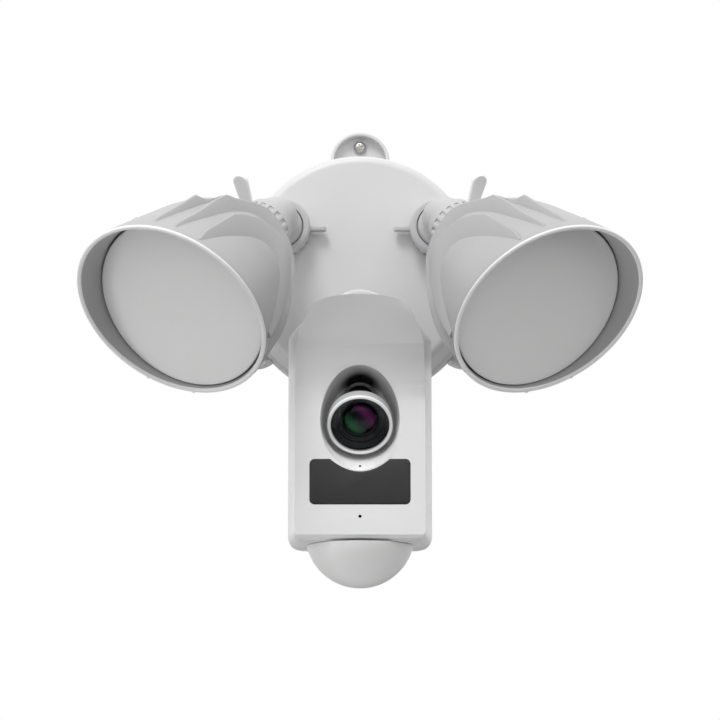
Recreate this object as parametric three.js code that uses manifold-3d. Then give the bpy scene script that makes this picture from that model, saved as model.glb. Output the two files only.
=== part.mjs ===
// Floodlight security camera: a round wall canopy that carries two bell-shaped
// floodlights on elbow arms and a hanging camera with a motion sensor dome.
//
// The model is drawn in the wall's own frame (x to the right, y up, z out of the
// wall) and the whole group is turned at the end so that z is up and the wall
// lies behind. Millimetres.
import * as THREE from 'three';
import { mergeVertices } from 'three/addons/utils/BufferGeometryUtils.js';
import Module from 'manifold-3d';

const wasm = await Module();
wasm.setup();

const V = (x, y, z) => new THREE.Vector3(x, y, z);
const rad = THREE.MathUtils.degToRad;

// ---------------------------------------------------------------- driving sizes
const GAP = 0.3;                    // clearance between touching pieces

const PLATE = { radius: 67.5, thick: 4 };
const LUG = { radius: 16.6, offset: 67.3, rim: 2, height: 8, floor: 2.6, angles: [90, 210, 330] };
const LUG_SCREW = { head: 3.5, shank: 1.9, offset: 76 };
const WIRE_HOLE = { radius: 9, y: 24 };
const CANOPY = { back: 65.2, front: 63.4, depth: 38, wall: 2.6, fillet: 4.5 };

// A ball joint: ball in a threaded cup, held by a knurled lock ring with a lip.
const ARM_JOINT = { ball: 12.5, bore: 12.8, cup: 14.2, ring: 15.9, neck: 9, opening: 11.8, ridges: 12 };
const CAMERA_JOINT = { ball: 15, bore: 15.3, cup: 17.4, ring: 19.9, neck: 10.5, opening: 14.5, ridges: 14 };
const PADDLE_LENGTH = 15;
const PAD_THICK = 0.9;
const CUP_FLOOR = 3;                // cup's floor below the ball
const JOINT_BACK = 7.6;             // lock ring behind the ball's centre
const JOINT_FRONT = 5;              // lock ring in front of the ball's centre

const ARM_ROOT = V(43, 20.5, 46);   // ball centre on the canopy, right-hand side
const CAMERA_ROOT = V(0, -34.8, 48);

// Floodlight: aimed down and outwards, ball centre to diffuser along its axis.
const LAMP = { azimuth: 33.5, pitch: 37, roll: 10, ball: V(55.3, 9, 82), diffuser: 81 };
const ELBOW = { leg: 23, tube: 11.2 };
const BELL = [                      // outer radius against distance from the ball
  [18.5, 15.5], [26, 20.5], [32, 26], [38.3, 35], [43.5, 50], [50.6, 81], [57.6, 122],
];
const SHADE = { wall: 2.4, rim: 92, tilt: 9.2 };
const DIFFUSER = { radius: 47.2, thick: 2 };
// Cooling fins: distance from the lamp's middle plane and outline as [along axis, up].
const FINS = [
  {
    x: 20.8,
    outline: [
      [96, 48], [88, 48.9], [72, 46.6], [54, 44.4], [46, 38.8], [34, 34.5], [25, 26.5], [18, 15.5],
      [14.8, 0], [18, -15.5], [25, -26.5], [36, -36.5], [55, -42.5], [76, -46.5], [96, -48],
    ],
  },
  {
    x: 31.2,
    outline: [
      [96, 42.5], [91, 42.9], [69, 39.8], [56, 38.8], [45, 36.4], [35, 27.8], [26, 21.5], [19.8, 13.5],
      [17.9, 0], [20.5, -10], [27, -17.5], [40.8, -28.5], [57.8, -36.8], [76.8, -41.3], [96, -42.5],
    ],
  },
  {
    x: 41.6,
    outline: [
      [96, 32.8], [86, 33.3], [62, 29.5], [50, 24.5], [42, 15.5], [36.5, 6],
      [35, -2], [40, -9], [51, -19.4], [76, -29.7], [96, -32.8],
    ],
  },
];
const FIN_THICK = 3;

// Camera head.
const BODY = { back: 58, full: 64, split: 78, face: 112, tip: 136, bottom: -158, wall: 2.6 };
const NAPE = { low: -58, high: -34, rise: 15 };   // sloped back, above the flat one
const HOOD = { start: -88, bend: -58, top: -34.6, reach: 24 };   // curve, then a straight brow
const LENS = {
  centre: V(0, -98.2, 108), down: 35, radius: 16.9, glass: 15.1, objective: 8.6,
  shoulder: 13, tail: 7.5, barrel: 33,   // the wide head is as deep as the shoulder, then a thin tail
  headRoom: 11.5, tailRoom: 44,          // how far back the shell is cleared for the head and the tail
};
const RECESS = { y: -96, half: 20.6, up: 28.5, down: 25.8, floor: 82, waist: 101, rim: 109 };
const WINDOW = { half: 26, top: -116, bottom: -139.6, corner: 2.6, thick: 2.2 };
const SERVICE = { y: -124, width: 22, height: 14 };   // door in the camera's back
const DOOR_THICK = 1.6;
const DOME = { radius: 28.6, y: -151.5, z: 86, wall: 1.6 };

// ---------------------------------------------------------------- materials
const paint = (color, roughness, metalness = 0) =>
  new THREE.MeshStandardMaterial({ color, roughness, metalness });
const white = paint(0xe4e4e4, 0.5);
const lampWhite = paint(0xd6d6d6, 0.5);
const milky = paint(0xc9c9c9, 0.45);
const lensWhite = paint(0xf4f4f4, 0.35);
const black = paint(0x141416, 0.2);
const windowBlack = paint(0x2e2e30, 0.25);
const glass = paint(0x101318, 0.05);
const steel = paint(0xa9a9a6, 0.35, 0.9);
const rubber = paint(0x5a5a5c, 0.85);
const board = paint(0x1f5a38, 0.6);
const aluminium = paint(0xb8babb, 0.4, 0.8);
const cream = paint(0xe9e6da, 0.6);
const barrelGrey = paint(0xb9b9b9, 0.5);

// ---------------------------------------------------------------- solid helpers
function solid(geometry) {
  const bare = geometry.clone();
  bare.deleteAttribute('normal');
  bare.deleteAttribute('uv');
  const merged = mergeVertices(bare, 1e-4);
  return new wasm.Manifold(new wasm.Mesh({
    numProp: 3,
    vertProperties: new Float32Array(merged.attributes.position.array),
    triVerts: new Uint32Array(merged.index.array),
  }));
}

function geometryOf(manifold) {
  const mesh = manifold.getMesh();
  const geometry = new THREE.BufferGeometry();
  const points = new Float32Array(mesh.numVert * 3);
  for (let i = 0; i < mesh.numVert; i += 1) {
    points.set(mesh.vertProperties.subarray(i * mesh.numProp, i * mesh.numProp + 3), i * 3);
  }
  geometry.setAttribute('position', new THREE.BufferAttribute(points, 3));
  geometry.setIndex(new THREE.BufferAttribute(new Uint32Array(mesh.triVerts), 1));
  geometry.computeVertexNormals();
  return geometry;
}

const join = (...parts) => geometryOf(parts.map(solid).reduce((sum, part) => sum.add(part)));
const cut = (base, ...tools) =>
  geometryOf(tools.map(solid).reduce((rest, tool) => rest.subtract(tool), solid(base)));
const common = (a, b) => geometryOf(solid(a).intersect(solid(b)));

// A solid of revolution about +Z from points of [radius, height], bottom to top outside.
function turned(points, segments = 40) {
  const profile = points.map(([r, z]) => new THREE.Vector2(r, z));
  return new THREE.LatheGeometry(profile, segments).rotateX(Math.PI / 2);
}

function disc(radius, from, to, segments = 40) {
  return turned([[0, from], [radius, from], [radius, to], [0, to]], segments);
}

function ring(inner, outer, from, to, segments = 40) {
  return turned([[inner, from], [outer, from], [outer, to], [inner, to], [inner, from]], segments);
}

function block(width, height, depth, x = 0, y = 0, z = 0) {
  return new THREE.BoxGeometry(width, height, depth).translate(x, y, z);
}

// A solid skinned over rings that all have the same number of points.
function loft(rings) {
  const count = rings[0].length;
  const positions = rings.flat().flatMap((p) => [p.x, p.y, p.z]);
  const triangles = [];
  for (let k = 0; k + 1 < rings.length; k += 1) {
    for (let i = 0; i < count; i += 1) {
      const j = (i + 1) % count;
      const [a, b, c, d] = [k * count + i, k * count + j, (k + 1) * count + j, (k + 1) * count + i];
      triangles.push(a, b, c, a, c, d);
    }
  }
  const addCap = (ringPoints, start, flip) => {
    const flat = ringPoints.map((p) => new THREE.Vector2(p.x, p.y));
    THREE.ShapeUtils.triangulateShape(flat, []).forEach(([a, b, c]) => {
      triangles.push(...(flip ? [start + a, start + c, start + b] : [start + a, start + b, start + c]));
    });
  };
  addCap(rings[0], 0, true);
  addCap(rings[rings.length - 1], (rings.length - 1) * count, false);
  const geometry = new THREE.BufferGeometry();
  geometry.setAttribute('position', new THREE.Float32BufferAttribute(positions, 3));
  geometry.setIndex(triangles);
  return geometry;
}

function mesh(name, geometry, material) {
  const part = new THREE.Mesh(geometry, material);
  part.name = name;
  return part;
}

// A group whose z axis points along `forward` and whose y axis leans towards `up`.
function aimed(origin, forward, up) {
  const z = forward.clone().normalize();
  const x = up.clone().cross(z).normalize();
  const y = z.clone().cross(x);
  const group = new THREE.Group();
  group.quaternion.setFromRotationMatrix(new THREE.Matrix4().makeBasis(x, y, z));
  group.position.copy(origin);
  return group;
}

// ---------------------------------------------------------------- ball joint pieces
// All of them are drawn about the ball's centre, with the joint's axis along +z.
function knurlBand(outer, ridges, from, to) {
  const shape = new THREE.Shape();
  for (let k = 0; k < ridges * 2; k += 1) {
    const angle = ((k + 0.5) / ridges) * Math.PI;
    const radius = k % 2 ? outer : outer - 0.9;
    const spread = 0.28 * (Math.PI / ridges);
    [angle - spread, angle + spread].forEach((a, j) => {
      const place = [radius * Math.cos(a), radius * Math.sin(a)];
      if (k === 0 && j === 0) {
        shape.moveTo(...place);
      } else {
        shape.lineTo(...place);
      }
    });
  }
  return new THREE.ExtrudeGeometry(shape, { depth: to - from, bevelEnabled: false }).translate(0, 0, from);
}

function lockRing(joint, paddle) {
  const { ring: outer, cup, opening, ridges } = joint;
  const inner = cup + GAP;
  const flange = turned([
    [0, -0.2], [outer, -0.2], [outer, JOINT_FRONT - 1.4], [outer - 1.2, JOINT_FRONT], [0, JOINT_FRONT],
  ], 20);
  const bore = turned([
    [0, -JOINT_BACK - 1], [inner, -JOINT_BACK - 1], [inner, JOINT_FRONT - 3],
    [joint.ball + 0.35, JOINT_FRONT - 2.6], [opening, JOINT_FRONT + 0.1], [0, JOINT_FRONT + 0.1],
  ], 20);
  const band = knurlBand(outer - 0.1, ridges, -JOINT_BACK, 0);
  return cut(join(flange, band, ...(paddle ? [paddle] : [])), bore);
}

// A thumb paddle that stands on edge, its broad side along the joint's axis.
function edgePaddle(joint) {
  const shape = new THREE.Shape();
  shape.moveTo(joint.ring - 0.9, -6.4);
  shape.lineTo(joint.ring + 6, -6.4);
  shape.absarc(joint.ring + 6, -3.6, 2.8, -Math.PI / 2, Math.PI / 2);
  shape.lineTo(joint.ring - 0.9, -0.8);
  const plate = new THREE.ExtrudeGeometry(shape, { depth: 2.6, bevelEnabled: false, curveSegments: 5 });
  return plate.translate(0, 0, -1.3).rotateX(Math.PI / 2);
}

// A thumb paddle that lies in the ring's plane, wider at its rounded end.
function flatPaddle(joint) {
  const root = joint.ring - 0.9;
  const end = joint.ring + PADDLE_LENGTH;
  const shape = new THREE.Shape();
  shape.moveTo(-3.1, root);
  shape.lineTo(3.1, root);
  shape.lineTo(4.3, end);
  shape.absarc(0, end, 4.3, 0, Math.PI);
  shape.lineTo(-3.1, root);
  return new THREE.ExtrudeGeometry(shape, { depth: 2.6, bevelEnabled: false, curveSegments: 7 })
    .translate(0, 0, -1.2);
}

// The cup that the ball sits in, from its floor to its open mouth.
function cupSolid(joint) {
  return disc(joint.cup, -joint.ball - CUP_FLOOR, -0.4, 20);
}

// Points on a sphere about the joint's centre, by angle from the cup's floor.
function arcPoints(radius, from, to, steps) {
  const points = [];
  for (let k = 0; k <= steps; k += 1) {
    const angle = rad(from + ((to - from) * k) / steps);
    points.push([radius * Math.sin(angle), -radius * Math.cos(angle)]);
  }
  return points;
}

// The cup's bore: a straight wall with a spherical seat for the friction pad below it.
function cupBore(joint) {
  const seat = joint.bore + PAD_THICK + 2 * GAP;
  const seatEnd = THREE.MathUtils.radToDeg(Math.asin(joint.bore / seat));
  return turned([...arcPoints(seat, 0, seatEnd, 5), [joint.bore, 10], [0, 10]], 20);
}

// A spherical washer between the ball and the cup's seat.
function frictionPad(joint) {
  const inner = arcPoints(joint.bore + 0.1, 44, 20, 3);
  const outer = arcPoints(joint.bore + PAD_THICK, 20, 44, 3);
  return turned([...outer, ...inner, outer[0]], 14);
}

function ballSolid(joint) {
  return new THREE.SphereGeometry(joint.ball, 16, 8).rotateX(Math.PI / 2);
}

// ---------------------------------------------------------------- wall side
function wallPlate() {
  let plate = disc(PLATE.radius, 0, PLATE.thick, 40);
  const recesses = [];
  LUG.angles.forEach((degrees) => {
    const angle = rad(degrees);
    const x = LUG.offset * Math.cos(angle);
    const y = LUG.offset * Math.sin(angle);
    plate = join(plate, disc(LUG.radius, 0, LUG.height, 22).translate(x, y, 0));
    recesses.push(disc(LUG.radius - LUG.rim, LUG.floor, LUG.height + 4, 22).translate(x, y, 0));
    const hole = disc(2.3, -1, LUG.floor + 1, 12);
    recesses.push(hole.translate(LUG_SCREW.offset * Math.cos(angle), LUG_SCREW.offset * Math.sin(angle), 0));
  });
  plate = cut(plate, ...recesses, disc(WIRE_HOLE.radius, -1, 9, 18).translate(0, WIRE_HOLE.y, 0));
  const seat = disc(CANOPY.back + GAP + 2.3, PLATE.thick, LUG.height + 2, 40);
  return cut(plate, seat);
}

function lugScrew() {
  return turned([
    [0, 0.3], [LUG_SCREW.shank, 0.3], [LUG_SCREW.shank, LUG.floor + GAP], [LUG_SCREW.head, LUG.floor + GAP],
    [LUG_SCREW.head, LUG.floor + 1.5], [LUG_SCREW.head * 0.72, LUG.floor + 2.7], [0, LUG.floor + 3.1],
  ], 12);
}

function canopyShell() {
  const { back, front, depth, wall, fillet } = CANOPY;
  const base = PLATE.thick + GAP;
  const arc = [0, 1, 2].map((k) => {
    const angle = (k / 2) * (Math.PI / 2);
    return [front - fillet + fillet * Math.cos(angle), depth - fillet + fillet * Math.sin(angle)];
  });
  let shell = turned([
    [back - wall, base], [back + 2.2, base], [back + 2.2, base + 3], [back, base + 3.6], ...arc,
    [0, depth], [0, depth - wall], [front - fillet, depth - wall],
    [front - wall - 0.6, depth - fillet - 1], [back - wall, base],
  ], 40);
  const spots = [
    [ARM_JOINT, ARM_ROOT],
    [ARM_JOINT, V(-ARM_ROOT.x, ARM_ROOT.y, ARM_ROOT.z)],
    [CAMERA_JOINT, CAMERA_ROOT],
  ];
  spots.forEach(([joint, at]) => {
    shell = join(shell, cupSolid(joint).translate(at.x, at.y, at.z));
  });
  spots.forEach(([joint, at]) => {
    shell = cut(shell, cupBore(joint).translate(at.x, at.y, at.z));
  });
  return shell;
}

function wallSide(group) {
  group.add(mesh('wall_plate', wallPlate(), white));
  group.add(mesh('canopy_shell', canopyShell(), white));
  LUG.angles.forEach((degrees, k) => {
    const screw = mesh(`lug_screw_${k + 1}`, lugScrew(), steel);
    screw.position.set(
      LUG_SCREW.offset * Math.cos(rad(degrees)),
      LUG_SCREW.offset * Math.sin(rad(degrees)),
      0,
    );
    group.add(screw);
  });
  const grommet = turned([
    [4, 0.4], [WIRE_HOLE.radius - GAP, 0.4], [WIRE_HOLE.radius - GAP, PLATE.thick + GAP],
    [WIRE_HOLE.radius + 2, PLATE.thick + GAP], [WIRE_HOLE.radius + 2, PLATE.thick + 2], [4, PLATE.thick + 2],
    [4, 0.4],
  ], 18);
  group.add(mesh('wire_grommet', grommet.translate(0, WIRE_HOLE.y, 0), rubber));
  const transformer = block(20, 14, 9, 12, -26, 13);
  const capacitor = block(12, 10, 12, -14, -27, 14.5);
  const driver = join(block(58, 30, 1.6, 0, -26, 8), transformer, capacitor);
  group.add(mesh('driver_board', driver, board));
  const terminals = join(block(26, 9, 9, 0, 2, 9), block(26, 4, 13, 0, 2, 10.5));
  group.add(mesh('terminal_block', terminals, cream));
}

// ---------------------------------------------------------------- floodlight arm
function tubeBetween(from, to, radius, segments = 20) {
  const way = to.clone().sub(from);
  const bar = disc(radius, 0, way.length(), segments);
  const turn = new THREE.Quaternion().setFromUnitVectors(V(0, 0, 1), way.clone().normalize());
  return bar.applyQuaternion(turn).translate(from.x, from.y, from.z);
}

// Half of a space, as a big slab that starts at `point` and runs along `normal`.
function halfSpace(point, normal) {
  const slab = block(220, 220, 120, 0, 0, 60);
  const turn = new THREE.Quaternion().setFromUnitVectors(V(0, 0, 1), normal.clone().normalize());
  return slab.applyQuaternion(turn).translate(point.x, point.y, point.z);
}

function bendTube(start, corner, end, radius) {
  const path = new THREE.QuadraticBezierCurve3(start, corner, end);
  const shape = new THREE.Shape();
  shape.absarc(0, 0, radius, 0, Math.PI * 2);
  const options = { steps: 4, extrudePath: path, curveSegments: 8, bevelEnabled: false };
  return new THREE.ExtrudeGeometry(shape, options);
}

function arm(side, name, group) {
  const root = V(ARM_ROOT.x * side, ARM_ROOT.y, ARM_ROOT.z);
  const lampBall = V(LAMP.ball.x * side, LAMP.ball.y, LAMP.ball.z);
  const aim = lampAim(side);
  const corner = lampBall.clone().addScaledVector(aim, -ELBOW.leg);
  const rise = corner.clone().sub(root).normalize();
  const bendStart = corner.clone().addScaledVector(rise, -7);
  const bendEnd = corner.clone().addScaledVector(aim, 7);
  const bend = bendTube(bendStart, corner, bendEnd, ELBOW.tube);
  const middle = bendStart.clone().add(bendEnd).multiplyScalar(0.25).addScaledVector(corner, 0.5);
  const parting = aim.clone().add(rise).normalize();
  const neck = tubeBetween(root, bendStart.clone().addScaledVector(rise, 0.2), ARM_JOINT.neck);

  const ball = ballSolid(ARM_JOINT).translate(root.x, root.y, root.z);
  let elbow = join(ball, neck, bend);
  elbow = cut(elbow, halfSpace(middle.clone().addScaledVector(parting, -GAP / 2), parting));
  group.add(mesh(`${name}_elbow`, elbow, white));

  const cupFrame = aimed(lampBall, aim, V(0, 1, 0));
  cupFrame.updateMatrix();
  const place = (geometry) => geometry.applyMatrix4(cupFrame.matrix);
  const flare = place(turned([
    [0, -ELBOW.leg + 5], [ELBOW.tube, -ELBOW.leg + 5], [ARM_JOINT.cup, -ARM_JOINT.ball - CUP_FLOOR],
    [ARM_JOINT.cup, -0.4], [0, -0.4],
  ], 20));
  let cup = join(bend, flare);
  cup = cut(cup, halfSpace(middle.clone().addScaledVector(parting, GAP / 2), parting.clone().negate()));
  cup = cut(cup, place(cupBore(ARM_JOINT)));
  group.add(mesh(`${name}_elbow_cup`, cup, white));

  const canopyRing = mesh(`${name}_lock_ring`, lockRing(ARM_JOINT, edgePaddle(ARM_JOINT)), white);
  canopyRing.position.copy(root);
  canopyRing.rotation.z = side > 0 ? Math.PI : 0;
  group.add(canopyRing);
  const pad = mesh(`${name}_friction_pad`, frictionPad(ARM_JOINT), rubber);
  pad.position.copy(root);
  group.add(pad);
}

// ---------------------------------------------------------------- floodlight head
function lampAim(side) {
  const out = rad(LAMP.azimuth);
  const down = rad(LAMP.pitch);
  return V(side * Math.cos(down) * Math.sin(out), -Math.sin(down), Math.cos(down) * Math.cos(out));
}

function bellRadius(z) {
  for (let k = 0; k + 1 < BELL.length; k += 1) {
    const [r0, z0] = BELL[k];
    const [r1, z1] = BELL[k + 1];
    if (z <= z1) {
      return r0 + ((r1 - r0) * Math.max(z - z0, 0)) / (z1 - z0);
    }
  }
  return BELL[BELL.length - 1][0];
}

// One cooling fin: a flat plate that stands on the bell's back at distance x.
function finPlate({ x, outline }) {
  const shape = new THREE.Shape(outline.map(([z, y]) => new THREE.Vector2(z, y)));
  const plate = new THREE.ExtrudeGeometry(shape, { depth: FIN_THICK, bevelEnabled: false });
  // drawn with z to the right and y up, so it is stood along the lamp's axis
  return plate.translate(0, 0, -FIN_THICK / 2)
    .applyMatrix4(new THREE.Matrix4().makeBasis(V(0, 0, 1), V(0, 1, 0), V(-1, 0, 0)))
    .translate(x, 0, 0);
}

function lampShell(side) {
  const outside = BELL.map(([r, z]) => [r, z]);
  const last = BELL[BELL.length - 1];
  let shell = turned([[0, BELL[0][1]], ...outside, [0, last[1]]], 26);
  const roll = -rad(LAMP.roll) * side;
  const fins = FINS.flatMap(({ x, outline }) => [
    finPlate({ x, outline }).rotateZ(roll),
    finPlate({ x: -x, outline }).rotateZ(roll),
  ]);
  shell = join(shell, ...fins);
  const inner = BELL.filter(([, z]) => z > 30).map(([r, z]) => [r - SHADE.wall, z]);
  const cavity = turned([[0, 24.5], [29, 28], ...inner, [0, last[1]]], 26);
  shell = cut(shell, cavity);
  const { diffuser } = LAMP;
  const shelf = ring(DIFFUSER.radius - 2.5, bellRadius(diffuser) - 1, diffuser - 5.5, diffuser - 3.5, 26);
  shell = join(shell, shelf);
  const tilt = rad(SHADE.tilt);
  const cutter = halfSpace(V(0, 0, SHADE.rim), V(0, -Math.sin(tilt), Math.cos(tilt)));
  shell = cut(shell, cutter);
  const stem = disc(ARM_JOINT.neck, 0, BELL[0][1] + 3, 20);
  return join(shell, cut(stem, disc(5, -1, 8, 16)), ballSolid(ARM_JOINT));
}

function lamp(side, name, group) {
  const aim = lampAim(side);
  const ball = V(LAMP.ball.x * side, LAMP.ball.y, LAMP.ball.z);
  const head = aimed(ball, aim, V(0, 1, 0));
  head.add(mesh(`${name}_shell`, lampShell(side), lampWhite));
  const front = LAMP.diffuser;
  head.add(mesh(`${name}_diffuser`, disc(DIFFUSER.radius, front - DIFFUSER.thick, front, 36), milky));
  const sealTop = front - DIFFUSER.thick - GAP;
  const seal = ring(DIFFUSER.radius - 2.3, DIFFUSER.radius - 0.2, sealTop - 0.9, sealTop, 26);
  head.add(mesh(`${name}_seal`, seal, rubber));
  const board0 = front - 16;
  head.add(mesh(`${name}_led_board`, disc(40, board0, board0 + 1.6, 28), aluminium));
  const collar = mesh(`${name}_lock_ring`, lockRing(ARM_JOINT, flatPaddle(ARM_JOINT)), white);
  collar.rotation.z = rad(6) * side;
  head.add(collar);
  head.add(mesh(`${name}_friction_pad`, frictionPad(ARM_JOINT), rubber));
  group.add(head);
}

// ---------------------------------------------------------------- camera head
// Outline of the camera body seen from the front, anticlockwise, grown by `grow`.
function bodyOutline(z, half, shoulder, cornerX, cornerY, top, grow = 0) {
  const points = [];
  const bottom = BODY.bottom;
  const radius = 6;
  const add = (x, y) => points.push(V(x, y, z));
  const w = half + grow;
  const low = bottom - grow;
  for (let k = 0; k <= 4; k += 1) {
    const angle = -Math.PI / 2 + (k / 4) * (Math.PI / 2);
    add(w - radius + radius * Math.cos(angle), low + radius + radius * Math.sin(angle));
  }
  add(w, shoulder + grow);
  const half1 = cornerX + grow * 0.6;
  add(half1, cornerY + grow);
  add(half1 * 0.76, cornerY + grow + (top - cornerY) * 0.64);
  add(half1 * 0.38, top + grow - 0.5);
  add(0, top + grow);
  const right = points.slice(0, -1);
  right.reverse().forEach((p) => points.push(V(-p.x, p.y, z)));
  return points;
}

function bodySolid(grow = 0) {
  const g = grow;
  return loft([
    bodyOutline(BODY.back - g, 32.5, -52, 25, -42, -38, g),
    bodyOutline(BODY.back + 2, 36, -49, 27, -38.5, -34, g),
    bodyOutline(BODY.full, 37.8, -46, 28, -35, -31, g),
    bodyOutline(BODY.split, 37.8, -46, 28, -35.5, -31.5, g),
    bodyOutline(BODY.face, 33.6, -53, 27.6, -40, -33.4, g),
    bodyOutline(BODY.tip + 3, 30.6, -57, 26.4, -41.5, -33.9, g),
  ]);
}

const napeNormal = V(0, -NAPE.rise, NAPE.high - NAPE.low).normalize();

// The side view's outline: flat back, sloped nape, overhanging hood and front face.
function sideProfile(grow = 0) {
  const shape = new THREE.Shape();
  const g = grow;
  const face = BODY.face + g;
  shape.moveTo(BODY.back - g, BODY.bottom - 10);
  shape.lineTo(face - 5, BODY.bottom - 10);
  shape.lineTo(face - 5, BODY.bottom - g + 0.5);
  shape.lineTo(face - 1.2, BODY.bottom - g + 1.4);
  shape.lineTo(face, BODY.bottom + 3);
  const curve = HOOD.bend - HOOD.start;
  const slope = HOOD.reach / (curve / 2 + HOOD.top + 1 - HOOD.bend);
  for (let k = 0; k <= 8; k += 1) {
    const rise = (curve * k) / 8;
    shape.lineTo(face + (slope * rise * rise) / (2 * curve), HOOD.start + rise);
  }
  shape.lineTo(face + HOOD.reach, HOOD.top + 1);
  shape.lineTo(face + HOOD.reach - 3, HOOD.top + 8);
  shape.lineTo(BODY.back + NAPE.rise + 5.2 - g * 1.2, HOOD.top + 8);
  shape.lineTo(BODY.back + NAPE.rise - g * 1.2, NAPE.high);
  shape.lineTo(BODY.back - g, NAPE.low);
  const slab = new THREE.ExtrudeGeometry(shape, { depth: 100, bevelEnabled: false });
  // drawn in (z, y), so it is turned to lie across the body
  return slab.translate(0, 0, -50)
    .applyMatrix4(new THREE.Matrix4().makeBasis(V(0, 0, 1), V(0, 1, 0), V(-1, 0, 0)));
}

function eggRing(z, half, up, down, y = RECESS.y, count = 26) {
  const points = [];
  for (let k = 0; k < count; k += 1) {
    const angle = (k / count) * Math.PI * 2;
    const s = Math.sin(angle);
    points.push(V(half * Math.cos(angle), y + (s > 0 ? up : down) * s, z));
  }
  return points;
}

function recessSolid(grow, floor) {
  return loft([
    eggRing(floor, 17.6 + grow, 24.5 + grow, 13 + grow),
    eggRing(RECESS.waist, 19.4 + grow, 27 + grow, 20.5 + grow),
    eggRing(RECESS.rim, RECESS.half + grow, RECESS.up + grow, RECESS.down + grow),
    eggRing(BODY.tip + 4, RECESS.half + grow, RECESS.up + grow, RECESS.down + grow),
  ]);
}

// The dark window under the lens: a rounded rectangle whose top bends round the recess.
function windowShape(shrink) {
  const half = WINDOW.half - shrink;
  const top = WINDOW.top - shrink;
  const bottom = WINDOW.bottom + shrink;
  const r = WINDOW.corner;
  const bite = 15.4;
  const shape = new THREE.Shape();
  shape.moveTo(-half + r, bottom);
  shape.lineTo(half - r, bottom);
  shape.absarc(half - r, bottom + r, r, -Math.PI / 2, 0);
  shape.lineTo(half, top - r);
  shape.absarc(half - r, top - r, r, 0, Math.PI / 2);
  shape.lineTo(bite - shrink, top);
  shape.quadraticCurveTo(0, top - 13 - shrink, -bite + shrink, top);
  shape.lineTo(-half + r, top);
  shape.absarc(-half + r, top - r, r, Math.PI / 2, Math.PI);
  shape.lineTo(-half, bottom + r);
  shape.absarc(-half + r, bottom + r, r, Math.PI, Math.PI * 1.5);
  return shape;
}

function windowPlate(shrink, from, to) {
  const options = { depth: to - from, bevelEnabled: false, curveSegments: 6 };
  return new THREE.ExtrudeGeometry(windowShape(shrink), options).translate(0, 0, from);
}

const lensAim = V(0, -Math.sin(rad(LENS.down)), Math.cos(rad(LENS.down)));

function lensPiece(geometry) {
  const frame = aimed(LENS.centre, lensAim, V(0, 1, 0));
  frame.updateMatrix();
  return geometry.applyMatrix4(frame.matrix);
}

function speakerSlots() {
  return [-6, -2, 2, 6].map((x) => block(1.6, 14, 8, x, -98, BODY.back));
}

function cameraShells(group) {
  const whole = common(bodySolid(), sideProfile());
  const hollow = common(bodySolid(-BODY.wall), sideProfile(-BODY.wall));
  const frontHalf = block(120, 300, 120, 0, -100, BODY.split + GAP / 2 + 60);
  const backHalf = block(120, 300, 120, 0, -100, BODY.split - GAP / 2 - 60);

  let front = cut(whole, hollow);
  front = common(front, frontHalf);
  const recessWall = common(common(recessSolid(2.2, RECESS.floor - 2.2), whole), frontHalf);
  front = join(front, recessWall);
  const windowPad = common(windowPlate(-2.5, BODY.face - 5, BODY.face + 2), whole);
  front = join(front, windowPad);
  front = cut(
    front,
    recessSolid(0, RECESS.floor),
    lensPiece(disc(LENS.radius + GAP, -LENS.headRoom, 4, 26)),
    lensPiece(disc(LENS.tail + GAP, -LENS.tailRoom, 0, 20)),
    windowPlate(0, BODY.face - WINDOW.thick - 0.2, BODY.face + 5),
    disc(DOME.radius - 8, -20, 20, 32).rotateX(Math.PI / 2).translate(0, BODY.bottom, DOME.z),
    disc(0.9, 80, 140, 10).translate(0, -146, 0),
  );
  group.add(mesh('camera_front_shell', front, white));

  let rear = common(cut(whole, hollow), backHalf);
  rear = cut(
    rear,
    disc(DOME.radius - 8, -20, 20, 32).rotateX(Math.PI / 2).translate(0, BODY.bottom, DOME.z),
    disc(7, 0, 60, 20).translate(0, -44, 40),
    block(SERVICE.width, SERVICE.height, 8, 0, SERVICE.y, BODY.back),
    ...speakerSlots(),
  );
  group.add(mesh('camera_rear_shell', rear, white));
}

function cameraLens(group) {
  const barrel = turned([
    [0, -LENS.barrel], [LENS.tail, -LENS.barrel], [LENS.tail, -LENS.shoulder], [LENS.radius, -7],
    [LENS.radius, -2.1], [LENS.glass + 0.1, -2.1], [LENS.glass + 0.1, -5.2],
    [LENS.objective, -8.8], [LENS.objective, -11], [0, -11],
  ], 26);
  group.add(mesh('lens_barrel', lensPiece(barrel), barrelGrey));
  const trim = turned([
    [LENS.glass + 0.1, -1.8], [LENS.radius, -1.8], [LENS.radius, -0.8], [LENS.radius - 0.5, 0],
    [LENS.glass + 0.5, 0], [LENS.glass + 0.1, -0.5], [LENS.glass + 0.1, -1.8],
  ], 26);
  group.add(mesh('lens_ring', lensPiece(trim), lensWhite));
  const cover = turned([
    [0, -3.6], [LENS.glass - 0.2, -3.6], [LENS.glass - 0.2, -1.6], [9, -0.9], [0, -0.6],
  ], 26);
  group.add(mesh('lens_glass', lensPiece(cover), glass));
  const edge = LENS.objective - GAP;
  const objective = turned([[0, -10.7], [edge, -10.7], [edge, -7], [5.5, -4.9], [0, -4.2]], 22);
  group.add(mesh('lens_objective', lensPiece(objective), black));
}

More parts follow.
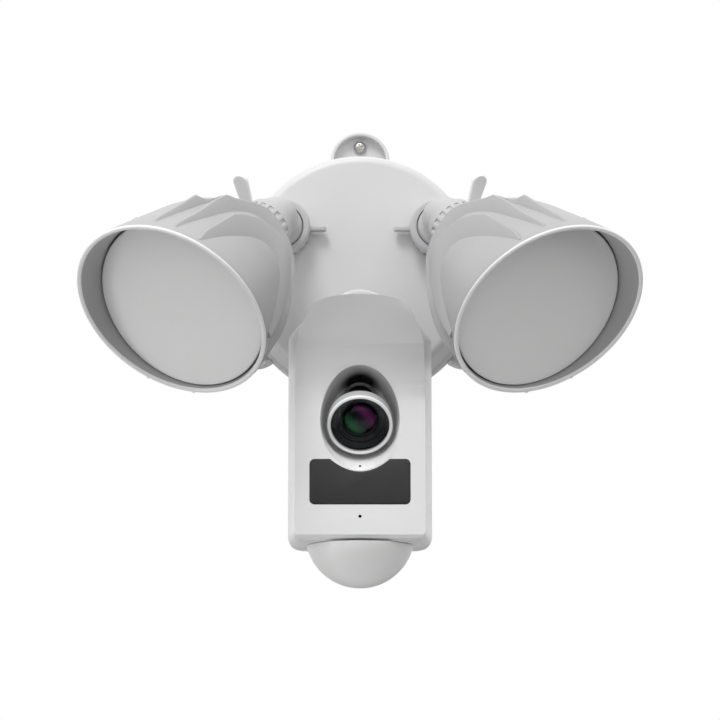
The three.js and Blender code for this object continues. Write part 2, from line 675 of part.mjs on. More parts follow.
function cameraSensors(group) {
  const pane = windowPlate(GAP, BODY.face - WINDOW.thick + 0.1, BODY.face + 0.3);
  group.add(mesh('infrared_window', pane, windowBlack));
  const domeFrom = BODY.bottom - GAP;
  const outer = [];
  const inner = [];
  const steps = 4;
  const at = (radius) => Math.acos((DOME.y - domeFrom) / radius);
  for (let k = 0; k <= steps; k += 1) {
    const a0 = at(DOME.radius) * (1 - k / steps);
    outer.push([DOME.radius * Math.sin(a0), -DOME.radius * Math.cos(a0)]);
    const a1 = at(DOME.radius - DOME.wall) * (k / steps);
    inner.push([(DOME.radius - DOME.wall) * Math.sin(a1), -(DOME.radius - DOME.wall) * Math.cos(a1)]);
  }
  const profile = [...outer.reverse(), ...inner.reverse()];
  profile[0] = [0, profile[0][1]];
  profile[profile.length - 1] = [0, profile[profile.length - 1][1]];
  const dome = turned(profile, 26).rotateX(-Math.PI / 2).translate(0, DOME.y, DOME.z);
  group.add(mesh('motion_dome', dome, milky));
  const detector = disc(4.2, 0, 5, 20).rotateX(Math.PI / 2).translate(0, -150.5, DOME.z);
  const sensor = join(block(20, 1.6, 20, 0, -150, DOME.z), detector);
  group.add(mesh('motion_sensor', sensor, board));
}

function cameraElectronics(group) {
  const mainBoard = join(block(58, 62, 1.6, 0, -117, 72), block(16, 16, 2, 6, -106, 73.6));
  group.add(mesh('main_board', mainBoard, board));
  const speaker = turned([[0, 61.2], [13, 61.2], [13, 64.2], [7, 69.5], [0, 69.5]], 20).translate(0, -98, 0);
  group.add(mesh('speaker', speaker, black));
  group.add(mesh('infrared_board', block(48, 12, 1.6, 0, -132.6, 104.6), board));
  group.add(mesh('service_board', block(24, 14, 1.6, 0, SERVICE.y, 66.2), board));
  const doorWidth = SERVICE.width - 2 * GAP;
  const doorFoot = SERVICE.y - SERVICE.height / 2 + GAP + DOOR_THICK / 2;
  const doorTop = SERVICE.y + SERVICE.height / 2 - GAP;
  const middle = BODY.back + DOOR_THICK / 2;
  const door = block(doorWidth, doorTop - doorFoot, DOOR_THICK, 0, (doorTop + doorFoot) / 2, middle);
  const roll = disc(DOOR_THICK / 2, -doorWidth / 2, doorWidth / 2, 12).rotateY(Math.PI / 2);
  roll.translate(0, doorFoot, middle);
  const lip = block(6, 1.6, 0.8, 0, doorTop - 1.6, BODY.back - 0.3);
  group.add(mesh('service_cover', join(door, roll, lip), rubber));
  group.add(mesh('reset_button', disc(1.9, 60.6, 64.2, 14).translate(-5, SERVICE.y, 0), cream));
}

function cameraMount(group) {
  const { x, y, z } = CAMERA_ROOT;
  const socketRing = mesh('camera_lock_ring', lockRing(CAMERA_JOINT), white);
  socketRing.position.set(x, y, z);
  group.add(socketRing);
  const neck = tubeBetween(CAMERA_ROOT, V(0, y - 7, z + 26), CAMERA_JOINT.neck);
  const ball = join(ballSolid(CAMERA_JOINT).translate(x, y, z), neck);
  const seat = V(0, NAPE.low, BODY.back).addScaledVector(napeNormal, -GAP);
  group.add(mesh('camera_ball', cut(ball, halfSpace(seat, napeNormal)), white));
  const pad = mesh('camera_friction_pad', frictionPad(CAMERA_JOINT), rubber);
  pad.position.set(x, y, z);
  group.add(pad);
}

// ---------------------------------------------------------------- assembly
const product = new THREE.Group();
product.rotation.x = Math.PI / 2;
wallSide(product);
[[-1, 'left'], [1, 'right']].forEach(([side, word]) => {
  arm(side, `arm_${word}`, product);
  lamp(side, `lamp_${word}`, product);
});
cameraMount(product);
cameraShells(product);
cameraLens(product);
cameraSensors(product);
cameraElectronics(product);

export default product;
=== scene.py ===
"""Looks of the floodlight security camera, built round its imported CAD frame.

Shapes are drawn in the wall's own frame in millimetres (x right, y up, z out of
the wall) and turned into the frame's metres when a piece is made.
"""
import math

import bmesh
import bpy
from mathutils import Matrix, Vector

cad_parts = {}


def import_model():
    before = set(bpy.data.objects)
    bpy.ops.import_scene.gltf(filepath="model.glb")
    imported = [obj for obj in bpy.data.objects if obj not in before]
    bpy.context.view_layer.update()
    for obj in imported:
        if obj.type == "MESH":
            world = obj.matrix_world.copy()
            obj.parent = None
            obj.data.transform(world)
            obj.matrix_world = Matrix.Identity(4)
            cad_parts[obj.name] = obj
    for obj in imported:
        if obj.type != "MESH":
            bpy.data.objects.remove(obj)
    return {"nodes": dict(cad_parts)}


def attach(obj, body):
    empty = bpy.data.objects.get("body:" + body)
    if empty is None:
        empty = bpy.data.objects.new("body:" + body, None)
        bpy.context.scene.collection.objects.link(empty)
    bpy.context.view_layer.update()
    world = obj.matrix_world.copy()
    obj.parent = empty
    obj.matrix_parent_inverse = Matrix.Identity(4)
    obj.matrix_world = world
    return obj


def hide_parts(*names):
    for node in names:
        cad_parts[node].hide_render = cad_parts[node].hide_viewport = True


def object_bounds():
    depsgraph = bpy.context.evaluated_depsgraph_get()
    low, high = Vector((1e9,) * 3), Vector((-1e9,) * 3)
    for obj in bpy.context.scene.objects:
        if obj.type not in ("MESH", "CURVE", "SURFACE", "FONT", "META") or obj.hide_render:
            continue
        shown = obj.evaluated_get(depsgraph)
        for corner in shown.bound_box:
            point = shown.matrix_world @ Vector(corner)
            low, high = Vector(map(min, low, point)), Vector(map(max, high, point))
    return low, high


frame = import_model()
cad_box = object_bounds()
GAP = 0.3


# ---------------------------------------------------------------- materials
def new_material(name):
    material = bpy.data.materials.new(name)
    material.use_nodes = True
    tree = material.node_tree
    shader = tree.nodes["Principled BSDF"]
    return material, tree, shader


def noise(tree, coords, scale, detail=3.0, rough=0.5):
    node = tree.nodes.new("ShaderNodeTexNoise")
    node.inputs["Scale"].default_value = scale
    node.inputs["Detail"].default_value = detail
    node.inputs["Roughness"].default_value = rough
    tree.links.new(coords, node.inputs["Vector"])
    return node.outputs["Fac"]


def spread(tree, value, low, high):
    node = tree.nodes.new("ShaderNodeMapRange")
    node.inputs["From Min"].default_value = 0.3
    node.inputs["From Max"].default_value = 0.7
    node.inputs["To Min"].default_value = low
    node.inputs["To Max"].default_value = high
    tree.links.new(value, node.inputs["Value"])
    return node.outputs["Result"]


def mixed(tree, factor, first, second):
    node = tree.nodes.new("ShaderNodeMix")
    node.data_type = "RGBA"
    node.inputs["A"].default_value = (*first, 1)
    node.inputs["B"].default_value = (*second, 1)
    tree.links.new(factor, node.inputs["Factor"])
    return node.outputs["Result"]


def plastic(name, color, rough=0.42, grain=0.10, tone=0.03, coat=0.0, scatter=0.0):
    """Moulded plastic: fine spark texture, faint flow marks and uneven gloss."""
    material, tree, shader = new_material(name)
    coords = tree.nodes.new("ShaderNodeTexCoord").outputs["Object"]
    flow = noise(tree, coords, 26, 4)
    darker = tuple(c * (1 - tone) for c in color)
    lighter = tuple(min(1, c * (1 + tone)) for c in color)
    tree.links.new(mixed(tree, spread(tree, flow, 0, 1), darker, lighter), shader.inputs["Base Color"])
    gloss = noise(tree, coords, 90, 3)
    tree.links.new(spread(tree, gloss, rough - 0.05, rough + 0.06), shader.inputs["Roughness"])
    texture = noise(tree, coords, 2600, 2, 0.6)
    bump = tree.nodes.new("ShaderNodeBump")
    bump.inputs["Strength"].default_value = grain
    bump.inputs["Distance"].default_value = 0.0002
    tree.links.new(texture, bump.inputs["Height"])
    tree.links.new(bump.outputs["Normal"], shader.inputs["Normal"])
    shader.inputs["Coat Weight"].default_value = coat
    shader.inputs["Coat Roughness"].default_value = 0.12
    if scatter:
        shader.inputs["Subsurface Weight"].default_value = scatter
        shader.inputs["Subsurface Radius"].default_value = (0.004, 0.004, 0.0045)
        shader.inputs["Subsurface Scale"].default_value = 1.0
    return material


def throat():
    """White plastic with painted shade: a soft black patch around the throat above the lens, where the deep
    recess is in shadow.
    """
    material, tree, shader = new_material("recess_plastic_painted_shade")
    coords = tree.nodes.new("ShaderNodeTexCoord").outputs["Object"]
    place = tree.nodes.new("ShaderNodeMapping")
    place.vector_type = "TEXTURE"
    place.inputs["Location"].default_value = (0, -0.088, -0.0745)
    place.inputs["Scale"].default_value = (0.0105, 0.016, 0.0125)
    tree.links.new(coords, place.inputs["Vector"])
    distance = tree.nodes.new("ShaderNodeVectorMath")
    distance.operation = "LENGTH"
    tree.links.new(place.outputs["Vector"], distance.inputs[0])
    edge = tree.nodes.new("ShaderNodeMapRange")
    edge.interpolation_type = "SMOOTHSTEP"
    edge.inputs["From Min"].default_value = 0.55
    edge.inputs["From Max"].default_value = 1.25
    tree.links.new(distance.outputs["Value"], edge.inputs["Value"])
    # painted shade: black in the middle of the mask, fading out to the white plastic
    color = mixed(tree, edge.outputs["Result"], (0.010, 0.010, 0.010), (0.90, 0.90, 0.90))
    tree.links.new(color, shader.inputs["Base Color"])
    tree.links.new(spread(tree, noise(tree, coords, 120), 0.5, 0.7), shader.inputs["Roughness"])
    shader.inputs["Specular IOR Level"].default_value = 0.2
    return material


def circuit_board():
    """Solder mask with copper tracks that run in short straight steps."""
    material, tree, shader = new_material("circuit_board_green")
    coords = tree.nodes.new("ShaderNodeTexCoord").outputs["Object"]
    brick = tree.nodes.new("ShaderNodeTexBrick")
    brick.inputs["Scale"].default_value = 160
    brick.inputs["Mortar Size"].default_value = 0.018
    brick.inputs["Color1"].default_value = (0.02, 0.13, 0.06, 1)
    brick.inputs["Color2"].default_value = (0.025, 0.16, 0.075, 1)
    brick.inputs["Mortar"].default_value = (0.09, 0.30, 0.14, 1)
    turn = tree.nodes.new("ShaderNodeMapping")
    turn.inputs["Rotation"].default_value = (math.radians(90), 0, 0)
    tree.links.new(coords, turn.inputs["Vector"])
    tree.links.new(turn.outputs["Vector"], brick.inputs["Vector"])
    tree.links.new(brick.outputs["Color"], shader.inputs["Base Color"])
    tree.links.new(spread(tree, noise(tree, coords, 300), 0.3, 0.5), shader.inputs["Roughness"])
    return material


def metal(name, color, rough):
    """Plated or milled metal with fine brushed streaks."""
    material, tree, shader = new_material(name)
    coords = tree.nodes.new("ShaderNodeTexCoord").outputs["Object"]
    stretch = tree.nodes.new("ShaderNodeMapping")
    stretch.inputs["Scale"].default_value = (1, 1, 14)
    tree.links.new(coords, stretch.inputs["Vector"])
    streak = noise(tree, stretch.outputs["Vector"], 500, 2)
    darker = tuple(c * 0.85 for c in color)
    tree.links.new(mixed(tree, spread(tree, streak, 0, 1), darker, color), shader.inputs["Base Color"])
    tree.links.new(spread(tree, streak, rough - 0.06, rough + 0.08), shader.inputs["Roughness"])
    shader.inputs["Metallic"].default_value = 1.0
    return material


def lens_painted_reflection():
    """Black glass with a painted reflection: its colour runs from green on one side to magenta on the other.
    """
    material, tree, shader = new_material("lens_glass_painted_reflection")
    coords = tree.nodes.new("ShaderNodeTexCoord").outputs["Object"]
    split = tree.nodes.new("ShaderNodeSeparateXYZ")
    tree.links.new(coords, split.inputs["Vector"])
    slant = tree.nodes.new("ShaderNodeMath")
    slant.operation = "ADD"
    tree.links.new(split.outputs["X"], slant.inputs[0])
    tree.links.new(split.outputs["Z"], slant.inputs[1])
    ramp = tree.nodes.new("ShaderNodeValToRGB")
    stops = ramp.color_ramp.elements
    stops[0].position, stops[0].color = 0.0, (0.015, 0.12, 0.04, 1)
    stops[1].position, stops[1].color = 1.0, (0.07, 0.006, 0.05, 1)
    for position, shade in ((0.22, (0.012, 0.10, 0.03, 1)), (0.42, (0.005, 0.010, 0.009, 1)),
                            (0.55, (0.012, 0.006, 0.012, 1)), (0.72, (0.13, 0.015, 0.09, 1))):
        stops.new(position).color = shade
    place = tree.nodes.new("ShaderNodeMapRange")
    place.inputs["From Min"].default_value = -0.1062
    place.inputs["From Max"].default_value = -0.0822
    tree.links.new(slant.outputs["Value"], place.inputs["Value"])
    tree.links.new(place.outputs["Result"], ramp.inputs["Fac"])
    # painted reflection: the green and magenta sit in the base colour
    tree.links.new(ramp.outputs["Color"], shader.inputs["Base Color"])
    tree.links.new(spread(tree, noise(tree, coords, 200), 0.05, 0.09), shader.inputs["Roughness"])
    shader.inputs["Specular IOR Level"].default_value = 0.15
    shader.inputs["Coat Weight"].default_value = 0.2
    shader.inputs["Coat Roughness"].default_value = 0.03
    return material


def clear_glass():
    material, tree, shader = new_material("lens_cover_glass")
    coords = tree.nodes.new("ShaderNodeTexCoord").outputs["Object"]
    tree.links.new(spread(tree, noise(tree, coords, 60), 0.01, 0.05), shader.inputs["Roughness"])
    shader.inputs["Base Color"].default_value = (0.92, 0.95, 0.97, 1)
    shader.inputs["Transmission Weight"].default_value = 1.0
    shader.inputs["IOR"].default_value = 1.06
    return material


WHITE = plastic("satin_white_plastic", (0.66, 0.66, 0.665), 0.42, 0.10, 0.02)
CAMERA_WHITE = plastic("camera_white_plastic", (0.86, 0.86, 0.865), 0.34, 0.05, 0.012)
# painted shade: the lamp shells' white plastic is made darker than the other whites
LAMP_SHADED_WHITE = plastic("lamp_white_plastic_painted_shade", (0.42, 0.42, 0.425), 0.44, 0.12, 0.025)
# pale white of the lamp rims; on the lamp paddles it is painted light, where they face the light
PALE_RIM_AND_PADDLE_LIGHT = plastic("pale_rim_and_paddle_painted_light", (0.93, 0.93, 0.93), 0.4, 0.05, 0.012)
# painted shade: the arms' white plastic is made darker than the other whites
ARM_SHADED_WHITE = plastic("arm_white_plastic_painted_shade", (0.50, 0.50, 0.505), 0.42, 0.10, 0.02)
MILKY = plastic("milky_diffuser_plastic", (0.93, 0.93, 0.93), 0.40, 0.04, 0.010, scatter=0.2)
DOME_MILKY = plastic("milky_dome_plastic", (0.93, 0.93, 0.93), 0.38, 0.05, 0.012, scatter=0.25)
TRIM = plastic("bright_trim_plastic", (0.97, 0.97, 0.97), 0.22, 0.02, 0.01, coat=0.3)
BARREL = plastic("lens_barrel_plastic", (0.52, 0.52, 0.52), 0.4, 0.05, 0.02)
BLACK = plastic("black_satin_plastic", (0.012, 0.012, 0.013), 0.35, 0.1, 0.1)
# recess plastic with painted shade above the lens
RECESS_PAINTED_SHADE = throat()
# painted shade: the lens tail is made matt black to read as the dark deep in the recess
TAIL_SHADE_BLACK = plastic("matt_black_painted_shade", (0.010, 0.010, 0.010), 0.85, 0.1, 0.1)
WINDOW_BLACK = plastic("infrared_window_black", (0.020, 0.020, 0.021), 0.55, 0.03, 0.08)
RUBBER = plastic("grey_rubber", (0.16, 0.16, 0.165), 0.75, 0.3, 0.08)
CREAM = plastic("cream_nylon", (0.74, 0.70, 0.58), 0.5, 0.1, 0.03)
STEEL = metal("plated_steel", (0.62, 0.61, 0.58), 0.32)
ALUMINIUM = metal("milled_aluminium", (0.72, 0.73, 0.74), 0.36)
BOARD = circuit_board()
# black lens glass with a painted green and magenta reflection
LENS_PAINTED_REFLECTION = lens_painted_reflection()
COVER_GLASS = clear_glass()


# ---------------------------------------------------------------- mesh helpers
def world(point):
    return Vector((point[0] / 1000, -point[2] / 1000, point[1] / 1000))


def new_object(name, verts, faces, place=None):
    mesh = bpy.data.meshes.new(name)
    points = [place @ Vector(v) for v in verts] if place else verts
    mesh.from_pydata([world(p) for p in points], [], faces)
    shape = bmesh.new()
    shape.from_mesh(mesh)
    bmesh.ops.recalc_face_normals(shape, faces=shape.faces)
    shape.to_mesh(mesh)
    shape.free()
    made = bpy.data.objects.new(name, mesh)
    bpy.context.scene.collection.objects.link(made)
    return made


def applied(piece):
    """Applies a piece's modifiers to its mesh."""
    bpy.context.view_layer.update()
    graph = bpy.context.evaluated_depsgraph_get()
    result = bpy.data.meshes.new_from_object(piece.evaluated_get(graph))
    old = piece.data
    piece.modifiers.clear()
    piece.data = result
    bpy.data.meshes.remove(old)
    return piece


def boolean(piece, tool, operation="DIFFERENCE"):
    modifier = piece.modifiers.new("boolean", "BOOLEAN")
    modifier.operation = operation
    modifier.solver = "EXACT"
    modifier.object = tool
    applied(piece)
    bpy.data.objects.remove(tool)
    return piece


def bevelled(piece, width, segments=2, angle=38):
    modifier = piece.modifiers.new("bevel", "BEVEL")
    modifier.width = width / 1000
    modifier.segments = segments
    modifier.limit_method = "ANGLE"
    modifier.angle_limit = math.radians(angle)
    modifier.use_clamp_overlap = True
    return applied(piece)


def finish_piece(piece, material, body, nodes=(), sharp=34):
    piece.data.materials.clear()
    piece.data.materials.append(material)
    for polygon in piece.data.polygons:
        polygon.use_smooth = True
        polygon.material_index = 0
    piece.data.set_sharp_from_angle(angle=math.radians(sharp))
    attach(piece, body)
    if nodes:
        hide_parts(*nodes)
    return piece


def painted(piece, material, test):
    """Gives a second material to the faces whose middle, in wall millimetres, passes the test."""
    piece.data.materials.append(material)
    index = len(piece.data.materials) - 1
    for face in piece.data.polygons:
        x, y, z = face.center * 1000
        if test(Vector((x, z, -y))):
            face.material_index = index


def joined(target, piece):
    shape = bmesh.new()
    shape.from_mesh(target.data)
    shape.from_mesh(piece.data)
    shape.to_mesh(target.data)
    shape.free()
    bpy.data.objects.remove(piece)


def merged(*parts):
    verts, faces = [], []
    for part_verts, part_faces in parts:
        start = len(verts)
        verts.extend(Vector(v) for v in part_verts)
        faces.extend([start + i for i in face] for face in part_faces)
    return verts, faces


def moved(part, place):
    verts, faces = part
    return [place @ Vector(v) for v in verts], faces


def loft(rings, looped=False):
    """Skins rings of equal length; its ends are capped unless the rings form a loop."""
    count = len(rings[0])
    verts = [Vector(p) for ring in rings for p in ring]
    faces = []
    spans = len(rings) if looped else len(rings) - 1
    for k in range(spans):
        a, b = k * count, ((k + 1) % len(rings)) * count
        for i in range(count):
            j = (i + 1) % count
            faces.append([a + i, a + j, b + j, b + i])
    if not looped:
        faces.append(list(reversed(range(count))))
        faces.append(list(range((len(rings) - 1) * count, len(rings) * count)))
    return verts, faces


def lathe(profile, segments=96, shape=None):
    """Turns (radius, z) points about z. A profile that ends where it starts makes a loop."""
    looped = profile[0] == profile[-1]
    rows = profile[:-1] if looped else profile
    rings = []
    for index, (radius, z) in enumerate(rows):
        ring = []
        for k in range(segments):
            angle = 2 * math.pi * k / segments
            r = shape(index, radius, angle) if shape else radius
            ring.append((max(r, 0.001) * math.cos(angle), max(r, 0.001) * math.sin(angle), z))
        rings.append(ring)
    return loft(rings, looped)


def rounded(points, radius=0.6, steps=3):
    """Rounds the corners of an open line of (a, b) points."""
    result = [points[0]]
    for before, corner, after in zip(points, points[1:], points[2:]):
        c = Vector(corner)
        back = Vector(before) - c
        on = Vector(after) - c
        cut = min(radius, back.length * 0.45, on.length * 0.45)
        start, end = c + back.normalized() * cut, c + on.normalized() * cut
        for k in range(steps + 1):
            t = k / steps
            p = start * (1 - t) ** 2 + c * 2 * t * (1 - t) + end * t ** 2
            result.append((p.x, p.y))
    result.append(points[-1])
    return result


def rounded_loop(points, radius=0.6, steps=3):
    ring = points[:-1]
    wrapped = [ring[-1], *ring, ring[0]]
    loop = rounded(wrapped, radius, steps)[1:-1]
    return [*loop, loop[0]]


def smooth_line(points, steps=6):
    """A smooth curve through (a, b) points."""
    result = []
    for k in range(len(points) - 1):
        p0 = Vector(points[max(k - 1, 0)])
        p1, p2 = Vector(points[k]), Vector(points[k + 1])
        p3 = Vector(points[min(k + 2, len(points) - 1)])
        for s in range(steps):
            t = s / steps
            p = 0.5 * (2 * p1 + (p2 - p0) * t + (2 * p0 - 5 * p1 + 4 * p2 - p3) * t * t
                       + (3 * p1 - p0 - 3 * p2 + p3) * t ** 3)
            result.append((p.x, p.y))
    result.append(tuple(points[-1]))
    return result


def extruded(outline, low, high):
    """A flat outline in (x, y) made solid from z = low to z = high."""
    return loft([[(x, y, low) for x, y in outline], [(x, y, high) for x, y in outline]])


def aimed(origin, forward, up=Vector((0, 1, 0)), roll=0.0):
    z = forward.normalized()
    x = up.cross(z).normalized()
    y = z.cross(x)
    turn = Matrix((x, y, z)).transposed().to_4x4()
    return Matrix.Translation(origin) @ turn @ Matrix.Rotation(roll, 4, "Z")


def cylinder(radius, low, high, segments=64):
    return loft([
        [(radius * math.cos(2 * math.pi * k / segments), radius * math.sin(2 * math.pi * k / segments), z)
         for k in range(segments)] for z in (low, high)
    ])


def slab(x0, x1, y0, y1, z0, z1):
    return loft([[(x0, y0, z), (x1, y0, z), (x1, y1, z), (x0, y1, z)] for z in (z0, z1)])


# ---------------------------------------------------------------- ball joints
ARM = dict(ball=12.5, bore=12.8, cup=14.2, ring=15.9, neck=9, opening=11.8, ridges=20)
CAM = dict(ball=15, bore=15.3, cup=17.4, ring=19.9, neck=10.5, opening=14.5, ridges=24)
RING_BACK, RING_FRONT = 7.6, 5.0


def ring_shape(joint):
    """A lock ring: knurled skirt, plain flange and a lip that follows the ball."""
    outer, inner = joint["ring"], joint["cup"] + GAP
    line = [
        (inner, -RING_BACK), (outer - 0.1, -RING_BACK), (outer - 0.1, -0.5), (outer, -0.1), (outer, 3.7),
        (outer - 1.1, RING_FRONT), (joint["opening"] + 0.5, RING_FRONT), (joint["opening"] + 0.3, 4.4),
        (joint["ball"] + 0.45, 2.2), (inner, 1.9), (inner, -RING_BACK),
    ]
    profile = rounded_loop(line, 0.35, 2)
    skirt = outer - 1.6

    def knurl(index, radius, angle):
        z = profile[index][1]
        if radius < skirt or z > -0.25 or z < -RING_BACK + 0.01:
            return radius
        wave = math.cos(angle * joint["ridges"])
        return radius - 0.85 * min(max(0.5 - wave * 1.3, 0), 1)

    return lathe(profile, joint["ridges"] * 10, knurl)


def tapered_paddle(joint):
    """The broad thumb paddle that lies in its ring's plane."""
    root, end = joint["ring"] - 1.2, joint["ring"] + 15
    outline = [(-3.1, root), (3.1, root)]
    arc = [(4.3 * math.cos(a), end + 4.3 * math.sin(a)) for a in
           [math.pi * k / 14 for k in range(15)]]
    rows = []
    for z, shrink in ((-1.2, 0.6), (-0.8, 0.15), (-0.3, 0), (0.5, 0), (1.0, 0.15), (1.4, 0.6)):
        ring = []
        for x, y in [*outline, *arc]:
            centre = Vector((0, end if y > end else y))
            p = Vector((x, y))
            way = p - centre
            length = max(way.length, 1e-6)
            q = centre + way * max(length - shrink, 0) / length
            ring.append((q.x, q.y, z))
        rows.append(ring)
    return loft(rows)


def upright_paddle(joint):
    """The thumb paddle that stands on edge beside the canopy."""
    base = joint["ring"] - 1.2
    end = joint["ring"] + 6
    profile = [(base, -6.4), (end, -6.4)]
    profile += [(end + 2.8 * math.cos(a), -3.6 + 2.8 * math.sin(a)) for a in
                [-math.pi / 2 + math.pi * k / 10 for k in range(1, 10)]]
    profile += [(end, -0.8), (base, -0.8)]
    rows = []
    for y, shrink in ((-1.3, 0.5), (-0.9, 0.1), (0, 0), (0.9, 0.1), (1.3, 0.5)):
        ring = []
        for x, z in profile:
            cx, cz = min(x, end), -3.6
            way = Vector((x - cx, z - cz))
            length = max(way.length, 1e-6)
            q = Vector((cx, cz)) + way * (length - shrink) / length
            ring.append((q.x, y, q.y))
        rows.append(ring)
    return loft(rows)


def ball_shape(radius):
    profile = [(radius * math.sin(math.pi * k / 28), -radius * math.cos(math.pi * k / 28)) for k in range(29)]
    return lathe(profile, 64)


def tube(path, radii, across, segments=56):
    """A round bar along a plane curve; `across` is the plane's normal."""
    rings = []
    for k, (point, radius) in enumerate(zip(path, radii)):
        before, after = path[max(k - 1, 0)], path[min(k + 1, len(path) - 1)]
        along = (after - before).normalized()
        side = along.cross(across).normalized()
        rings.append([
            point + across * (radius * math.cos(2 * math.pi * i / segments))
            + side * (radius * math.sin(2 * math.pi * i / segments)) for i in range(segments)
        ])
    return loft(rings)


# ---------------------------------------------------------------- wall side
LUG_ANGLES = (90, 210, 330)
CANOPY_DEPTH, CANOPY_FRONT, CANOPY_BACK = 38.0, 63.4, 65.2


def polar(radius, degrees):
    return radius * math.cos(math.radians(degrees)), radius * math.sin(math.radians(degrees))


WIRE_HOLE_Y = 24
LUG_CENTRE, SCREW_CENTRE = 67.3, 76.0   # from the plate's middle


def wall_plate():
    line = [(0, 0), (67.5, 0), (67.5, 4), (0, 4)]
    plate = new_object("wall_plate_look", *lathe(rounded(line, 0.7), 128))
    for degrees in LUG_ANGLES:
        x, y = polar(LUG_CENTRE, degrees)
        lug_line = rounded([(0, 0), (16.6, 0), (16.6, 8), (14.6, 8), (14.6, 2.6), (0, 2.6)], 0.7)
        # a hair off the plate's back, so that the two backs don't coincide when they are united
        lug = new_object("lug", *lathe(lug_line, 72), Matrix.Translation((x, y, 0.04)))
        boolean(plate, new_object("pocket", *cylinder(14.6, 2.6, 12), Matrix.Translation((x, y, 0))))
        boolean(plate, lug, "UNION")
        boolean(plate, new_object("hole", *cylinder(2.3, -1, 5, 24),
                                  Matrix.Translation((*polar(SCREW_CENTRE, degrees), 0))))
    boolean(plate, new_object("wire_hole", *cylinder(9, -1, 9, 48), Matrix.Translation((0, WIRE_HOLE_Y, 0))))
    boolean(plate, new_object("seat", *cylinder(67.8, 4, 12, 128)))
    finish_piece(plate, WHITE, "mount", ["wall_plate"])


def lug_screw(index, degrees):
    line = [(0, 0.3), (1.9, 0.3), (1.9, 2.9), (3.5, 2.9), (3.5, 4.0), (2.5, 5.2), (0, 5.7)]
    screw = new_object(f"lug_screw_{index}_look", *lathe(rounded(line, 0.4), 40))
    for turn in (0, 90):
        bar = new_object("slot", *slab(-2.1, 2.1, -0.4, 0.4, 4.3, 8),
                         Matrix.Rotation(math.radians(turn), 4, "Z"))
        boolean(screw, bar)
    turned = Matrix.Rotation(math.radians(20 * index), 4, "Z")
    place = Matrix.Translation((*polar(SCREW_CENTRE, degrees), 0)) @ turned
    verts = [place @ Vector((v.co.x * 1000, v.co.z * 1000, -v.co.y * 1000)) for v in screw.data.vertices]
    for vertex, point in zip(screw.data.vertices, verts):
        vertex.co = world(point)
    finish_piece(screw, STEEL, "mount", [f"lug_screw_{index}"], 40)


def canopy():
    top = CANOPY_DEPTH
    back, front = CANOPY_BACK, CANOPY_FRONT
    line = [
        (back - 2.6, 4.3), (back + 2.2, 4.3), (back + 2.2, 7.3), (back, 7.9), (front, top), (0, top),
        (0, top - 2.6), (front - 4, top - 2.6), (front - 4, 33), (back - 2.6, 4.3),
    ]
    profile = [line[0], *rounded(line[:4], 0.5, 2)[1:-1], line[3]]
    corner = [(front + 0.15 - 5 + 5 * math.cos(a), top - 5 + 5 * math.sin(a)) for a in
              [math.radians(2 + 88 * k / 8) for k in range(9)]]
    profile = [*profile, *corner, (30, top), *line[5:]]
    parts = [lathe(profile, 160)]
    for joint, (x, y, z) in ((ARM, (43, 20.5, 46)), (ARM, (-43, 20.5, 46)), (CAM, (0, -34.8, 48))):
        cup, bore = joint["cup"], joint["bore"]
        ring = [(bore, top - z + 0.2), (cup + 1.2, top - z + 0.02), (cup + 0.3, top - z + 0.4),
                (cup, top - z + 1.2), (cup, -0.8), (cup - 0.4, -0.4), (bore, -0.4), (bore, top - z + 0.2)]
        parts.append(moved(lathe(ring, 72), Matrix.Translation((x, y, z))))
    shell = new_object("canopy_look", *merged(*parts))
    finish_piece(shell, WHITE, "mount", ["canopy_shell"])


def grommet():
    line = [(4, 0.4), (8.7, 0.4), (8.7, 4.3), (11, 4.3), (11, 6), (4, 6), (4, 0.4)]
    piece = new_object("wire_grommet_look", *lathe(rounded_loop(line, 0.5), 56),
                       Matrix.Translation((0, WIRE_HOLE_Y, 0)))
    finish_piece(piece, RUBBER, "mount", ["wire_grommet"])


# ---------------------------------------------------------------- floodlights
LAMP_BALL = (55.3, 9.0, 82.0)
AZIMUTH, PITCH, ROLL = math.radians(33.5), math.radians(37), math.radians(10)
RIM, TILT, WALL = 92.0, math.radians(9.2), 2.4
BELL = [(18.5, 15.5), (26, 20.5), (32, 26), (38.3, 35), (43.5, 50), (47, 65), (50.6, 81), (54.2, 99),
        (57.6, 122)]
BELL_LINE = smooth_line(BELL, 8)
FINS = (
    (20.8,
     [(95, 48.3), (88, 48.9), (72, 46.8), (54, 44.6)],
     [(54, 44.6), (49, 39.6), (43, 37), (34, 34), (25, 26.5), (18, 15.5), (14.8, 0), (18, -15.5), (25, -26.5),
      (36, -36.5), (55, -42.6), (72, -45.4), (83, -46.6)]),
    (31.2,
     [(95, 42.3), (89, 42.9), (69, 40), (56, 38.9), (45, 36.8)],
     [(45, 36.8), (40, 32.2), (35, 28.4), (26, 21.5), (19.8, 13.5), (17.9, 0), (20.5, -10), (27, -17.5),
      (40.8, -28.5), (57.8, -36.8), (72, -39.6), (83, -39.8)]),
    (41.6,
     [(94, 32.6), (86, 33.3), (74, 31.8), (60, 29.8)],
     [(60, 29.8), (52, 25.2), (44, 18.5), (38.5, 10), (35.2, 0), (39, -9), (51, -19.4), (70, -28), (84, -31)]),
)


def lamp_aim(side):
    return Vector((side * math.cos(PITCH) * math.sin(AZIMUTH), -math.sin(PITCH),
                   math.cos(PITCH) * math.cos(AZIMUTH)))


def bell_radius(z):
    for (r0, z0), (r1, z1) in zip(BELL_LINE, BELL_LINE[1:]):
        if z <= z1:
            return r0 + (r1 - r0) * max(z - z0, 0) / max(z1 - z0, 1e-6)
    return BELL_LINE[-1][0]


